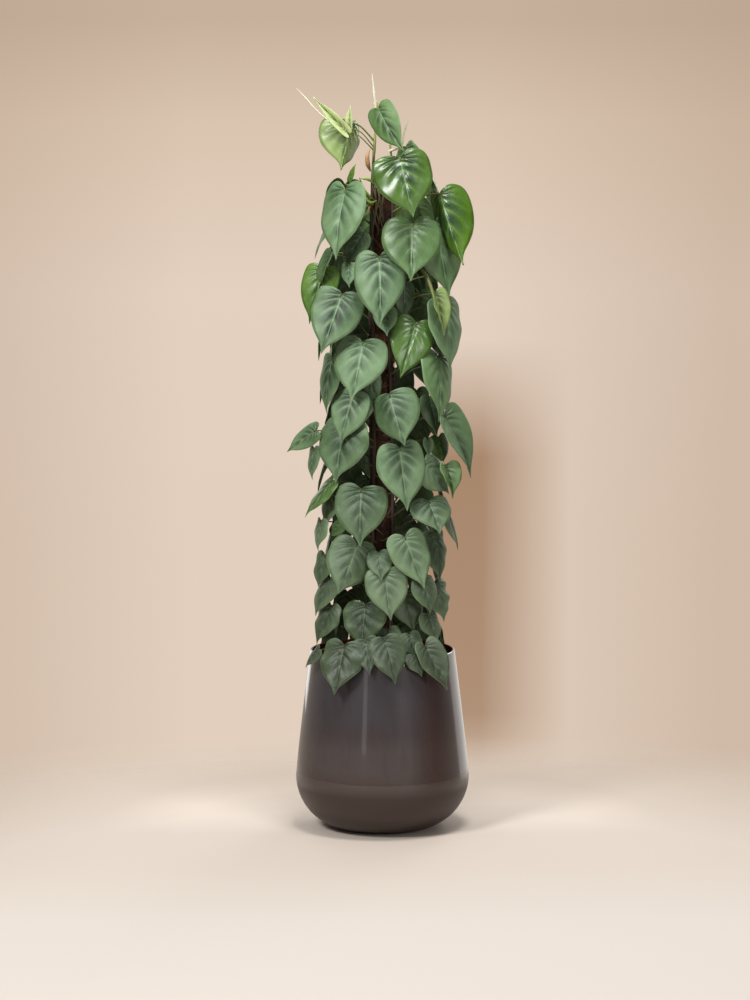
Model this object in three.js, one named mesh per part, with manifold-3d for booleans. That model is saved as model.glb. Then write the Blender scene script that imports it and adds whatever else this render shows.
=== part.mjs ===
import * as THREE from 'three';
import Module from 'manifold-3d';
import { mergeVertices } from 'three/addons/utils/BufferGeometryUtils.js';

// A heartleaf philodendron trained up a coir pole in a glazed pot.
// Millimetres, +Z up, origin at the centre of the pot's foot, the viewer stands at -Y.

const wasm = await Module();
wasm.setup();

const fitGap = 0.3;

const pot = {
  height: 360,
  rimRadius: 145,
  bellyRadius: 174.5,
  bellyHeight: 105,
  footRadius: 75,
  wall: 5,
  floor: 10,
  wallCurve: 1.1,
  sides: 40,
};

const soil = {
  edgeLevel: 322,
  crown: 8,
};

const pole = {
  wrapRadius: 24,
  wrapBottom: 60,
  wrapTop: 1285,
  stakeRadius: 10,
  stakeBottom: 14,
  stakeTop: 1281,
  topBevel: 3,
  sides: 20,
};

const stem = {
  radius: 3.5,
  climbRadius: 28,
  soilRadius: 35,
  bottom: 250,
  settle: 430,
  sides: 5,
  stepLength: 42,
  holeSides: 8,
  holeGap: 0.6,
  settleStart: 350,
  wanderLength: 110,
  drawnIn: 10,
  freeStart: 10,
  freeEnd: 40,
};

const shoot = {
  sides: 4,
  tipSides: 5,
  tipSwell: 1.1,
  tipSunk: 4,
};

const petiole = {
  radius: 1.5,
  rise: 38,
  lowest: 345,
  rootBelowTop: 4,
  archPlace: 0.55,
  lift: 9,
  sunk: 7,
  sides: 3,
  steps: 2,
  point: 0.9,
  pointReach: 1.1,
};

const blade = {
  thickness: 1,
  edgeFall: 0.07,
  archLow: 0.07,
  archHigh: 0.15,
  bendSpread: 0.07,
};

// Half of the heart outline, from beside the notch round to the tip.
// Each point is a share of the length below the notch and a share of the half width.
const heartEdge = [
  [-0.11, 0.38],
  [-0.05, 0.86],
  [0.22, 1],
  [0.55, 0.78],
  [0.81, 0.27],
];
const midribShares = [0, 0.42, 1];

// Triangles of one half blade: midrib points are m0 to m2, edge points e0 to e4.
const halfBladeFaces = [
  ['m0', 'e0', 'e1'],
  ['m0', 'e1', 'm1'],
  ['m1', 'e1', 'e2'],
  ['m1', 'e2', 'e3'],
  ['m1', 'e3', 'e4'],
  ['m1', 'e4', 'm2'],
];

// Each leaf: x and z of its notch, the notch's reach from the pole's axis, the way it faces
// (degrees to the right of the viewer), the swing of its tip to the right, its tilt away
// from the pole, the blade's length and width, and where they differ from flat, how far its
// left and right halves are folded up about the midrib.
const frontLeftLeaves = [
  [-9, 1438, 60, -36, 36, 12, 108, 66],
  [-66, 1412, 75, 22, -12, 14, 96, 112, -20, -42],
  [-72, 1394, 88, 10, -135, 0, 93, 30, 40, 40],
  [-64, 1400, 80, -30, 176, -10, 44, 22, 40, 40],
  [-66, 1298, 74, -40, 158, 0, 36, 14],
  [-74, 1281, 95, -42, 0, 20, 140, 110],
  [-40, 1195, 72, -30, -30, 10, 80, 52],
  [-7, 1150, 100, -3, 4, 18, 140, 102],
  [-100, 1154, 118, -55, -22, 15, 88, 40, 40, 40],
  [-66, 1134, 88, -30, 5, 15, 46, 40],
  [-118, 1124, 126, -12, -10, 15, 110, 76],
  [-80, 1077, 118, -10, -16, 20, 124, 106],
  [-39, 983, 100, -15, -4, 20, 118, 104],
  [-100, 950, 116, -58, 0, 15, 110, 80],
  [-23, 920, 67, -6, 6, 10, 72, 40],
  [-31, 878, 80, -12, -6, 20, 60, 40],
  [-58, 878, 106, -22, -14, 18, 98, 80],
  [-74, 818, 105, -32, -4, 20, 114, 112],
  [-131, 805, 138, -35, -58, 15, 84, 44],
  [-136, 768, 141, -62, 4, 15, 62, 48],
  [-99, 707, 118, -62, -20, 38, 92, 62],
  [-42, 693, 105, -10, 0, 20, 114, 108],
  [-98, 684, 110, -50, -8, 18, 72, 64],
  [-80, 625, 108, -40, -40, 20, 42, 34],
  [-122, 624, 130, -66, 4, 15, 60, 60],
  [-50, 585, 110, 0, -18, 20, 108, 100, -5, -28],
  [-7, 567, 96, 0, 5, 35, 60, 50],
  [-114, 555, 122, -50, -5, 18, 66, 60],
  [-104, 511, 118, -55, -16, 20, 84, 72],
  [-35, 464, 110, -14, 0, 20, 88, 88],
  [-102, 456, 118, -50, -14, 20, 84, 70],
  [-76, 387, 146, -22, 0, 30, 101, 88],
  [-126, 372, 152, -60, -30, 34, 48, 40],
  [-34, 397, 134, -6, 10, 32, 72, 56],
];

const frontRightLeaves = [
  [46, 1364, 62, 40, 30, 15, 64, 60],
  [33, 1343, 108, -4, 13, 18, 122, 120, 0, -14],
  [111, 1273, 130, -26, 21, 12, 150, 114, -44, -38],
  [58, 1215, 105, 4, -4, 22, 116, 116],
  [103, 1217, 118, 30, 4, 16, 152, 104],
  [42, 1092, 67, 25, 0, 12, 66, 50],
  [102, 1078, 134, 40, 8, 15, 84, 56, 42, 42],
  [122, 1057, 132, 50, 0, 15, 134, 104],
  [5, 1048, 80, 0, 0, 40, 60, 50],
  [66, 1019, 100, 12, -19, 18, 112, 90],
  [109, 953, 122, 52, -12, 18, 130, 96],
  [93, 872, 108, 25, 8, 15, 78, 46],
  [12, 882, 114, -20, 22, 18, 110, 104, -24, -20],
  [122, 835, 134, 45, 28, 15, 140, 92, 30, 20],
  [88, 787, 104, 20, 0, 15, 34, 26, 35, 35],
  [111, 791, 118, 40, 6, 10, 56, 50],
  [34, 775, 104, 14, 2, 18, 125, 96],
  [124, 736, 138, 35, 0, 28, 66, 66, 38, 38],
  [82, 743, 112, 40, 40, 20, 86, 72],
  [91, 668, 118, 22, 10, 36, 72, 92],
  [128, 640, 135, 75, 10, 20, 80, 60],
  [99, 600, 112, 50, 3, 15, 98, 80],
  [44, 599, 110, 20, 15, 18, 110, 88],
  [6, 530, 112, 2, 2, 20, 95, 86],
  [80, 512, 119, 40, 8, 18, 70, 64],
  [103, 500, 112, 48, 2, 20, 80, 76],
  [44, 486, 84, 25, 8, 18, 84, 70],
  [90, 440, 115, 45, 5, 25, 60, 55],
  [10, 415, 104, 4, 12, 28, 56, 50],
  [53, 404, 112, 26, 10, 28, 54, 50],
  [4, 402, 142, 4, 15, 32, 94, 68],
  [60, 368, 146, 20, 12, 35, 46, 42],
  [84, 385, 146, 20, 18, 28, 98, 66, 25, 25],
];

// The far side carries the same foliage in columns, laid like bricks and a little unevenly,
// with a few leaves hung over the pot's rim.
const column = {
  lowest: 460,
  rows: 10,
  rowHeight: 93,
  reach: 96,
  tilt: 20,
  lowLength: 96,
  highLength: 132,
  widthShare: 0.78,
  heightSpread: 9,
  facingSpread: 5,
  swingSpread: 8,
  rimLevel: 396,
  rimReach: 138,
  rimTilt: 30,
  rimLength: 95,
};

const vines = [
  {
    name: 'vine_front_left',
    angle: -42,
    wander: 7,
    phase: 0.4,
    top: 1450,
    leaves: frontLeftLeaves,
    columns: [],
    overRim: [],
    shoots: [
      { points: [[-14, -14, 1440], [-17, -20, 1470]], radius: 2, tip: 39 },
      { points: [[-70, -22, 1394], [-118, -34, 1424], [-150, -40, 1458]], radius: 1.2, tip: 28 },
    ],
  },
  {
    name: 'vine_front_right',
    angle: 38,
    wander: 8,
    phase: 2.1,
    top: 1368,
    leaves: frontRightLeaves,
    columns: [],
    overRim: [],
    shoots: [
      { points: [[13, -17, 1355], [36, -34, 1366], [43, -38, 1392]], radius: 1.8, tip: 30 },
    ],
  },
  {
    name: 'vine_back_right',
    angle: 143,
    wander: 7,
    phase: 4.0,
    top: 1325,
    leaves: [],
    columns: [98, 132, 164],
    overRim: [138, 166],
    shoots: [],
  },
  {
    name: 'vine_back_left',
    angle: 236,
    wander: 7,
    phase: 5.2,
    top: 1340,
    leaves: [],
    columns: [196, 228, 262],
    overRim: [194, 222],
    shoots: [],
  },
];

const up = new THREE.Vector3(0, 0, 1);

// A repeatable draw between low and high.
const drawStep = 16807;
const drawRange = 2147483647;
let drawState = 38;
function draw(low, high) {
  drawState = (drawState * drawStep) % drawRange;
  return low + (high - low) * drawState / drawRange;
}

function outwardAt(degrees) {
  const angle = THREE.MathUtils.degToRad(degrees);
  return new THREE.Vector3(Math.sin(angle), -Math.cos(angle), 0);
}

function solidFrom(geometry) {
  const plain = geometry.index ? geometry.toNonIndexed() : geometry.clone();
  plain.deleteAttribute('normal');
  plain.deleteAttribute('uv');
  const merged = mergeVertices(plain, 1e-3);
  return new wasm.Manifold(new wasm.Mesh({
    numProp: 3,
    vertProperties: new Float32Array(merged.attributes.position.array),
    triVerts: new Uint32Array(merged.index.array),
  }));
}

function geometryFrom(solid) {
  const mesh = solid.getMesh();
  const geometry = new THREE.BufferGeometry();
  geometry.setAttribute('position', new THREE.BufferAttribute(mesh.vertProperties, 3));
  geometry.setIndex(new THREE.BufferAttribute(mesh.triVerts, 1));
  geometry.computeVertexNormals();
  return geometry;
}

function joinAll(solids) {
  return solids.reduce((whole, next) => whole.add(next));
}

function turned(profile, sides) {
  const lathe = new THREE.LatheGeometry(profile.map(([r, z]) => new THREE.Vector2(r, z)), sides);
  return lathe.rotateX(Math.PI / 2);
}

// The pot's outer and inner outlines share one rule.
function bowlPoint(inset, share) {
  const angle = share * Math.PI / 2;
  const reach = pot.bellyRadius - inset - pot.footRadius;
  const bottom = inset > 0 ? pot.floor : 0;
  return [
    pot.footRadius + reach * Math.sin(angle),
    bottom + (pot.bellyHeight - bottom) * (1 - Math.cos(angle)),
  ];
}

function wallRadius(z) {
  const share = (z - pot.bellyHeight) / (pot.height - pot.bellyHeight);
  return pot.bellyRadius - (pot.bellyRadius - pot.rimRadius) * share ** pot.wallCurve;
}

function sideProfile(inset, top) {
  const bowlShares = [0, 0.3, 0.55, 0.78, 1];
  const wallSteps = 4;
  const points = bowlShares.map((share) => bowlPoint(inset, share));
  for (let i = 1; i <= wallSteps; i += 1) {
    const z = pot.bellyHeight + (top - pot.bellyHeight) * i / wallSteps;
    points.push([wallRadius(z) - inset, z]);
  }
  return points;
}

function makePot() {
  const lip = pot.wall / 2;
  const outer = sideProfile(0, pot.height - lip);
  const inner = sideProfile(pot.wall, pot.height - lip).reverse();
  const crest = [
    [pot.rimRadius - lip * 0.3, pot.height - lip * 0.3],
    [pot.rimRadius - lip, pot.height],
    [pot.rimRadius - lip * 1.7, pot.height - lip * 0.3],
  ];
  const profile = [[0, 0], ...outer, ...crest, ...inner, [0, pot.floor]];
  return turned(profile, pot.sides);
}

function makeSoil() {
  const side = sideProfile(pot.wall + fitGap, soil.edgeLevel);
  side[0][1] += fitGap;
  const profile = [
    [0, pot.floor + fitGap],
    ...side,
    [pot.rimRadius / 2, soil.edgeLevel + soil.crown * 0.7],
    [0, soil.edgeLevel + soil.crown],
  ];
  const above = pot.height;
  const wrapRod = rodProfile(pole.wrapRadius + fitGap, pole.wrapBottom - fitGap, above);
  const stakeRod = rodProfile(pole.stakeRadius + fitGap, pole.stakeBottom - fitGap, above);
  const wrapHole = turned(wrapRod, pole.sides);
  const stakeHole = turned(stakeRod, pole.sides);
  let body = solidFrom(turned(profile, pot.sides));
  body = body.subtract(solidFrom(wrapHole)).subtract(solidFrom(stakeHole));
  const holeRadius = (stem.radius + stem.holeGap) / Math.cos(Math.PI / stem.holeSides);
  for (const vine of vines) {
    const hole = turned(rodProfile(holeRadius, stem.bottom - fitGap, above), stem.holeSides);
    const foot = stemPoint(vine, stem.bottom);
    body = body.subtract(solidFrom(hole.translate(foot.x, foot.y, 0)));
  }
  return geometryFrom(body);
}

function rodProfile(radius, bottom, top) {
  return [[0, bottom], [radius, bottom], [radius, top], [0, top]];
}

// A coir sleeve wound round a wooden stake.
function makeWrap() {
  const bore = pole.stakeRadius + fitGap;
  const profile = [
    [bore, pole.wrapBottom],
    [pole.wrapRadius, pole.wrapBottom],
    [pole.wrapRadius, pole.wrapTop - pole.topBevel],
    [pole.wrapRadius - pole.topBevel, pole.wrapTop],
    [bore, pole.wrapTop],
    [bore, pole.wrapBottom],
  ];
  return turned(profile, pole.sides);
}

function makeStake() {
  return turned(rodProfile(pole.stakeRadius, pole.stakeBottom, pole.stakeTop), pole.sides);
}

// The stem climbs against the pole, and above the pole's top it draws in to the axis.
function stemPoint(vine, z) {
  const settled = THREE.MathUtils.smoothstep(z, stem.settleStart, stem.settle);
  const freed = THREE.MathUtils.smoothstep(z, pole.wrapTop + stem.freeStart, vine.top + stem.freeEnd);
  const radius = THREE.MathUtils.lerp(stem.soilRadius, stem.climbRadius, settled) - freed * stem.drawnIn;
  const sway = settled * vine.wander * Math.sin(z / stem.wanderLength + vine.phase);
  return outwardAt(vine.angle + sway).multiplyScalar(radius).setZ(z);
}

function tube(points, radius, sides, steps) {
  const section = new THREE.Shape();
  for (let i = 0; i < sides; i += 1) {
    const angle = i * 2 * Math.PI / sides;
    const corner = [radius * Math.cos(angle), radius * Math.sin(angle)];
    if (i === 0) section.moveTo(...corner);
    else section.lineTo(...corner);
  }
  section.closePath();
  const path = new THREE.CatmullRomCurve3(points);
  return new THREE.ExtrudeGeometry(section, { steps, extrudePath: path, curveSegments: 1 });
}

function makeStem(vine) {
  const count = Math.round((vine.top - stem.bottom) / stem.stepLength);
  const points = [];
  for (let i = 0; i <= count; i += 1) {
    points.push(stemPoint(vine, THREE.MathUtils.lerp(stem.bottom, vine.top, i / count)));
  }
  return tube(points, stem.radius, stem.sides, count);
}

// A leaf's own frame: along runs from notch to tip, across to its right, face is its upper side.
function leafFrame(notch, facing, swing, tilt, length, width, leftFold = 0, rightFold = 0) {
  const out = outwardAt(facing);
  const right = outwardAt(facing + 90);
  const lean = THREE.MathUtils.degToRad(tilt);
  const turn = THREE.MathUtils.degToRad(swing);
  const down = out.clone().multiplyScalar(Math.sin(lean)).addScaledVector(up, -Math.cos(lean));
  const face = out.clone().multiplyScalar(Math.cos(lean)).addScaledVector(up, Math.sin(lean));
  const along = down.clone().multiplyScalar(Math.cos(turn)).addScaledVector(right, Math.sin(turn));
  const across = right.clone().multiplyScalar(Math.cos(turn)).addScaledVector(down, -Math.sin(turn));
  const arch = draw(blade.archLow, blade.archHigh);
  const bend = draw(-blade.bendSpread, blade.bendSpread);
  return { notch, along, across, face, length, width, leftFold, rightFold, arch, bend };
}

function foldAt(leaf, side) {
  if (side === 0) return 0;
  return THREE.MathUtils.degToRad(side < 0 ? leaf.leftFold : leaf.rightFold);
}

function bladePoint(leaf, share, side) {
  const droop = Math.max(share, 0) ** 2;
  const half = side * leaf.width / 2;
  const fold = foldAt(leaf, side);
  const sideways = half * Math.cos(fold) + leaf.bend * leaf.length * droop;
  const fall = leaf.arch * leaf.length * droop + blade.edgeFall * leaf.width * side * side;
  return leaf.notch.clone()
    .addScaledVector(leaf.along, share * leaf.length)
    .addScaledVector(leaf.across, sideways)
    .addScaledVector(leaf.face, Math.abs(half) * Math.sin(fold) - fall);
}

// The way from the upper side to the underside, square to the half blade.
function underAt(leaf, side) {
  const fold = foldAt(leaf, side);
  return leaf.face.clone().multiplyScalar(-blade.thickness * Math.cos(fold))
    .addScaledVector(leaf.across, Math.sign(side) * blade.thickness * Math.sin(fold));
}

function makeBlade(leaf) {
  const points = [];
  const places = {};
  const addPoint = (key, point) => {
    places[key] = points.length;
    points.push(point);
  };
  for (const layer of ['top', 'low']) {
    const place = (share, side) => {
      const point = bladePoint(leaf, share, side);
      return layer === 'low' ? point.add(underAt(leaf, side)) : point;
    };
    midribShares.forEach((share, i) => addPoint(`${layer} m${i}`, place(share, 0)));
    for (const side of [1, -1]) {
      heartEdge.forEach(([share, reach], i) => {
        addPoint(`${layer} e${i} ${side}`, place(share, side * reach));
      });
    }
  }
  const find = (layer, key, side) => places[`${layer} ${key}`] ?? places[`${layer} ${key} ${side}`];
  const index = [];
  for (const side of [1, -1]) {
    for (const corners of halfBladeFaces) {
      const top = corners.map((key) => find('top', key, side));
      const low = corners.map((key) => find('low', key, side));
      if (side > 0) top.reverse();
      else low.reverse();
      index.push(...top, ...low);
    }
    const rim = ['m0', ...heartEdge.map((point, i) => `e${i}`), 'm2'];
    for (let i = 0; i + 1 < rim.length; i += 1) {
      const a = find('top', rim[i], side);
      const b = find('top', rim[i + 1], side);
      const c = find('low', rim[i + 1], side);
      const d = find('low', rim[i], side);
      if (side > 0) index.push(a, b, c, a, c, d);
      else index.push(c, b, a, d, c, a);
    }
  }
  const geometry = new THREE.BufferGeometry();
  const flat = points.flatMap((point) => point.toArray());
  geometry.setAttribute('position', new THREE.BufferAttribute(new Float32Array(flat), 3));
  geometry.setIndex(index);
  return geometry;
}

// The leaf stalk leaves the stem below the notch, arches out to it and ends in the blade.
function makePetiole(vine, leaf) {
  const highest = vine.top - petiole.rootBelowTop;
  const rootHeight = THREE.MathUtils.clamp(leaf.notch.z - petiole.rise, petiole.lowest, highest);
  const root = stemPoint(vine, rootHeight);
  const end = leaf.notch.clone().addScaledVector(leaf.face, -blade.thickness / 2);
  const middle = root.clone().lerp(end, petiole.archPlace).addScaledVector(up, petiole.lift);
  const sunk = end.clone().addScaledVector(leaf.along, petiole.sunk);
  const stalk = tube([root, middle, end, sunk], petiole.radius, petiole.sides, petiole.steps);
  return pointed(stalk, sunk);
}

// Draws a tube's last corners together into a point inside the blade.
function pointed(stalk, tip) {
  const corners = stalk.attributes.position;
  const corner = new THREE.Vector3();
  for (let i = 0; i < corners.count; i += 1) {
    corner.fromBufferAttribute(corners, i);
    if (corner.distanceTo(tip) < petiole.radius * petiole.pointReach) {
      corner.lerp(tip, petiole.point);
      corners.setXYZ(i, corner.x, corner.y, corner.z);
    }
  }
  return stalk;
}

// A rolled new leaf: a thin stalk with a long pointed tip.
function makeShoot({ points, radius, tip }) {
  const route = points.map((point) => new THREE.Vector3(...point));
  const last = route[route.length - 1];
  const heading = last.clone().sub(route[route.length - 2]).normalize();
  const stalk = tube(route, radius, shoot.sides, route.length * 2);
  const cone = new THREE.ConeGeometry(radius * shoot.tipSwell, tip + shoot.tipSunk, shoot.tipSides);
  cone.translate(0, tip / 2, 0);
  cone.applyQuaternion(new THREE.Quaternion().setFromUnitVectors(new THREE.Vector3(0, 1, 0), heading));
  cone.translate(last.x, last.y, last.z);
  return [solidFrom(stalk), solidFrom(cone)];
}

function tableLeaf([x, z, reach, ...shape]) {
  const y = -Math.sqrt(reach * reach - x * x);
  return leafFrame(new THREE.Vector3(x, y, z), ...shape);
}

function columnLeaves(degrees, shifted) {
  const leaves = [];
  const rows = column.rows - (shifted ? 1 : 0);
  for (let row = 0; row < rows; row += 1) {
    const level = column.lowest + column.rowHeight * (row + (shifted ? 0.5 : 0));
    const z = level + draw(-column.heightSpread, column.heightSpread);
    const facing = degrees + draw(-column.facingSpread, column.facingSpread);
    const swing = draw(-column.swingSpread, column.swingSpread);
    const size = THREE.MathUtils.lerp(column.lowLength, column.highLength, row / column.rows);
    const length = size * draw(0.88, 1.08);
    const width = length * column.widthShare * draw(0.94, 1.05);
    const notch = outwardAt(degrees + draw(-4, 4)).multiplyScalar(column.reach + draw(-3, 4)).setZ(z);
    leaves.push(leafFrame(notch, facing, swing, column.tilt + draw(-2, 2), length, width));
  }
  return leaves;
}

function rimLeaf(degrees) {
  const notch = outwardAt(degrees).multiplyScalar(column.rimReach).setZ(column.rimLevel + draw(-6, 6));
  const length = column.rimLength * draw(0.9, 1.1);
  return leafFrame(notch, degrees, draw(-10, 10), column.rimTilt, length, length * column.widthShare);
}

function vineLeaves(vine) {
  const leaves = vine.leaves.map(tableLeaf);
  for (const degrees of vine.columns) {
    const shifted = allColumns.indexOf(degrees) % 2 === 1;
    leaves.push(...columnLeaves(degrees, shifted));
  }
  leaves.push(...vine.overRim.map(rimLeaf));
  return leaves;
}

const allColumns = vines.flatMap((vine) => vine.columns);

function makeVine(vine) {
  const solids = [solidFrom(makeStem(vine))];
  for (const leaf of vineLeaves(vine)) {
    solids.push(solidFrom(makePetiole(vine, leaf)).add(solidFrom(makeBlade(leaf))));
  }
  vine.shoots.forEach((plan) => solids.push(...makeShoot(plan)));
  return geometryFrom(joinAll(solids));
}

function material(color, roughness) {
  return new THREE.MeshStandardMaterial({ color, roughness, metalness: 0 });
}

const glaze = material(0x4a4044, 0.15);
const earth = material(0x3a2a1e, 0.95);
const coir = material(0x6b4630, 0.95);
const wood = material(0x9a7a52, 0.8);
const foliage = material(0x4f8a4c, 0.55);

const plant = new THREE.Group();

function addPiece(name, geometry, surface) {
  const piece = new THREE.Mesh(geometry, surface);
  piece.name = name;
  plant.add(piece);
}

addPiece('pot', makePot(), glaze);
addPiece('soil', makeSoil(), earth);
addPiece('coir_wrap', makeWrap(), coir);
addPiece('pole_stake', makeStake(), wood);
vines.forEach((vine) => addPiece(vine.name, makeVine(vine), foliage));

export default plant;
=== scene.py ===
import math
import random

import bmesh
import bpy
from mathutils import Matrix, Vector, noise


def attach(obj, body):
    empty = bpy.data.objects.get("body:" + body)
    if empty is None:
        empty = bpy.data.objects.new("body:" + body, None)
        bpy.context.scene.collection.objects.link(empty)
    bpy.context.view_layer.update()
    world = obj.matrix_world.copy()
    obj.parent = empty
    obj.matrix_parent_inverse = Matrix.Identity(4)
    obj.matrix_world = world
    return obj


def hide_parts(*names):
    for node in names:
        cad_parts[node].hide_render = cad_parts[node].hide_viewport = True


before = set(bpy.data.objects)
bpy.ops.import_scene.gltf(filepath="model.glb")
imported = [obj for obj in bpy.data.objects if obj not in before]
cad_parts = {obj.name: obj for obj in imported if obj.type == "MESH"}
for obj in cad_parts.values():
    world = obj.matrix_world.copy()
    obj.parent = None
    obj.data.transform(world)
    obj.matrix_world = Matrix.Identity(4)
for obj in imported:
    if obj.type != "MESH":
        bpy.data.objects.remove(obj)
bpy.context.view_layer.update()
scene = bpy.context.scene
mm = 0.001


def tint(red, green, blue):
    # a screen colour of 0 to 255, as the linear colour that shaders take
    def linear(part):
        part = part / 255
        return part / 12.92 if part <= 0.04045 else ((part + 0.055) / 1.055) ** 2.4
    return (linear(red), linear(green), linear(blue), 1.0)


def lerp(low, high, share):
    return low + (high - low) * share


def bowed(start, middle, end, share):
    # a curve that leaves the start towards the middle point
    return lerp(lerp(start, middle, share), lerp(middle, end, share), share)


def smoothstep(value, low, high):
    # from 0 at low to 1 at high, in either direction
    share = min(max((value - low) / (high - low), 0.0), 1.0)
    return share * share * (3 - 2 * share)


def curveAt(a, b, c, d, t):
    # between b and c, on a smooth curve through all four
    return 0.5 * (2 * b + (c - a) * t + (2 * a - 5 * b + 4 * c - d) * t * t
                  + (3 * b - a - 3 * c + d) * t * t * t)


def shares(count):
    return [i / count for i in range(count + 1)]


def outwardAt(degrees):
    angle = math.radians(degrees)
    return Vector((math.sin(angle), -math.cos(angle), 0))


def placeAt(degrees, radius, z):
    point = outwardAt(degrees) * radius
    point.z = z
    return point


# Shader maths

def operator(operation, swapped=False):
    def run(self, other):
        return self.graph.maths(operation, *((other, self) if swapped else (self, other)))
    return run


class Wire:
    # one output socket, so that masks can be written as sums
    def __init__(self, graph, socket):
        self.graph = graph
        self.socket = socket

    __add__, __radd__ = operator("ADD"), operator("ADD", True)
    __sub__, __rsub__ = operator("SUBTRACT"), operator("SUBTRACT", True)
    __mul__, __truediv__ = operator("MULTIPLY"), operator("DIVIDE")


def clamp(wire):
    return wire.graph.maths("ADD", wire, 0.0, clamp=True)


def band(wire, middle, reach, solid=1):
    # a mask that falls away on both sides of the middle
    return clamp(solid - wire.graph.maths("ABSOLUTE", wire - middle) / reach)


def mix(factor, first, second):
    inputs = {"Factor": factor, 6: first, 7: second}
    return factor.graph.node("Mix", {"data_type": "RGBA"}, inputs, 2)


def layered(ground, layers):
    # lays each (mask, colour) over the ground in turn
    for mask, colour in layers:
        ground = mix(mask, ground, colour)
    return ground


class Graph:
    # a node tree whose nodes are made by one method
    def __init__(self, tree):
        self.tree = tree

    def node(self, kind, settings=None, inputs=None, output=0):
        node = self.tree.nodes.new("ShaderNode" + kind)
        for key, value in (settings or {}).items():
            setattr(node, key, value)
        for socket, value in (inputs or {}).items():
            if isinstance(value, Wire):
                self.tree.links.new(value.socket, node.inputs[socket])
            else:
                node.inputs[socket].default_value = value
        return Wire(self, node.outputs[output])

    def maths(self, operation, first, second=0.0, clamp=False):
        settings = {"operation": operation, "use_clamp": clamp}
        return self.node("Math", settings, {0: first, 1: second})

    def ramp(self, wire, stops):
        # the stops are two or more (place, colour)
        made = self.node("ValToRGB", {}, {"Fac": wire})
        elements = made.socket.node.color_ramp.elements
        for _ in stops[2:]:
            elements.new(1.0)
        for element, (place, colour) in zip(elements, stops):
            element.position = place
            element.color = colour
        return made

    def split(self, wire):
        return [self.node("SeparateXYZ", {}, {"Vector": wire}, axis) for axis in range(3)]


class Look(Graph):
    # a material on one principled shader
    def __init__(self, name, **constants):
        self.material = bpy.data.materials.new(name)
        self.material.use_nodes = True
        super().__init__(self.material.node_tree)
        self.shader = self.tree.nodes["Principled BSDF"]
        for socket, value in constants.items():
            self.shader.inputs[socket.replace("_", " ")].default_value = value

    def objectPlace(self, scale=(1, 1, 1), shift=(0, 0, 0)):
        place = self.node("TexCoord", output=3)
        return self.node("Mapping", {}, {"Vector": place, "Scale": scale, "Location": shift})

    def noise(self, place, scale, detail=3.0, roughness=0.5):
        inputs = {"Vector": place, "Scale": scale, "Detail": detail, "Roughness": roughness}
        return self.node("TexNoise", {}, inputs)

    def attribute(self, name):
        # the colour's three parts and its alpha
        colour = self.node("Attribute", {"attribute_name": name}, {}, 0)
        parts = [self.node("SeparateColor", {}, {0: colour}, part) for part in range(3)]
        return [*parts, self.node("Attribute", {"attribute_name": name}, {}, 3)]

    def feed(self, socket, wire):
        self.tree.links.new(wire.socket, self.shader.inputs[socket])

    def paint(self, colour):
        self.feed("Base Color", colour)

    def bump(self, height, strength, distance):
        inputs = {"Height": height, "Strength": strength, "Distance": distance}
        self.feed("Normal", self.node("Bump", {}, inputs))


# Mesh helpers

def linked(name, data):
    thing = bpy.data.objects.new(name, data)
    scene.collection.objects.link(thing)
    return thing


def meshFrom(name, bm):
    mesh = bpy.data.meshes.new(name)
    bm.to_mesh(mesh)
    bm.free()
    return mesh


def addPiece(name, bm, looks, slot, replaced=()):
    return settle(name, meshFrom(name, bm), looks, replaced)


def settle(name, mesh, looks, replaced):
    for look in looks:
        mesh.materials.append(look.material)
    piece = linked(name, mesh)
    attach(piece, "root")
    if replaced:
        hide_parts(*replaced)
    return piece


def spun(profile, steps):
    # turns a profile of (radius, height) points into a closed round body
    bm = bmesh.new()
    points = [bm.verts.new((radius, 0, height)) for radius, height in profile]
    edges = [bm.edges.new(pair) for pair in zip(points, points[1:])]
    bmesh.ops.spin(bm, geom=points + edges, cent=(0, 0, 0), axis=(0, 0, 1), dvec=(0, 0, 0),
                   angle=math.tau, steps=steps, use_merge=True)
    bmesh.ops.remove_doubles(bm, verts=bm.verts, dist=1e-6)
    bmesh.ops.recalc_face_normals(bm, faces=bm.faces)
    for face in bm.faces:
        face.smooth = True
    # merging leaves the points in any order, and this one is the same in every run
    skewed = Vector((17.3, 5.1, 31.7))
    bm.verts.sort(key=lambda vert: vert.co.dot(skewed))
    bm.faces.sort(key=lambda face: face.calc_center_median().dot(skewed))
    return bm


def tubes(name, routes, sides, looks, slot, replaced=()):
    # each route is a list of (point, radius); the tubes of one piece are one mesh
    data = bpy.data.curves.new(name, "CURVE")
    data.dimensions = "3D"
    data.bevel_depth = 1.0
    data.bevel_resolution = sides
    data.use_fill_caps = True
    for route in routes:
        spline = data.splines.new("POLY")
        spline.points.add(len(route) - 1)
        for target, (point, radius) in zip(spline.points, route):
            target.co = (*point, 1.0)
            target.radius = radius
        spline.use_smooth = True
    carrier = linked(name + "_route", data)
    bpy.context.view_layer.update()
    graph = bpy.context.evaluated_depsgraph_get()
    mesh = bpy.data.meshes.new_from_object(carrier.evaluated_get(graph))
    bpy.data.objects.remove(carrier)
    mesh.name = name
    mesh.materials.clear()
    return settle(name, mesh, looks, replaced)


def smoothRoute(points, steps):
    # a smooth curve through a few points
    padded = [points[0] * 2 - points[1], *points, points[-1] * 2 - points[-2]]
    spans = range(len(points) - 1)
    route = [curveAt(*padded[i:i + 4], step / steps) for i in spans for step in range(steps)]
    return route + [points[-1].copy()]


def thickened(points, radiusAt):
    # gives each point its radius by its share of the way, and turns millimetres into metres
    return [(point * mm, radiusAt(share) * mm)
            for point, share in zip(points, shares(len(points) - 1))]


# The pot

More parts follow.
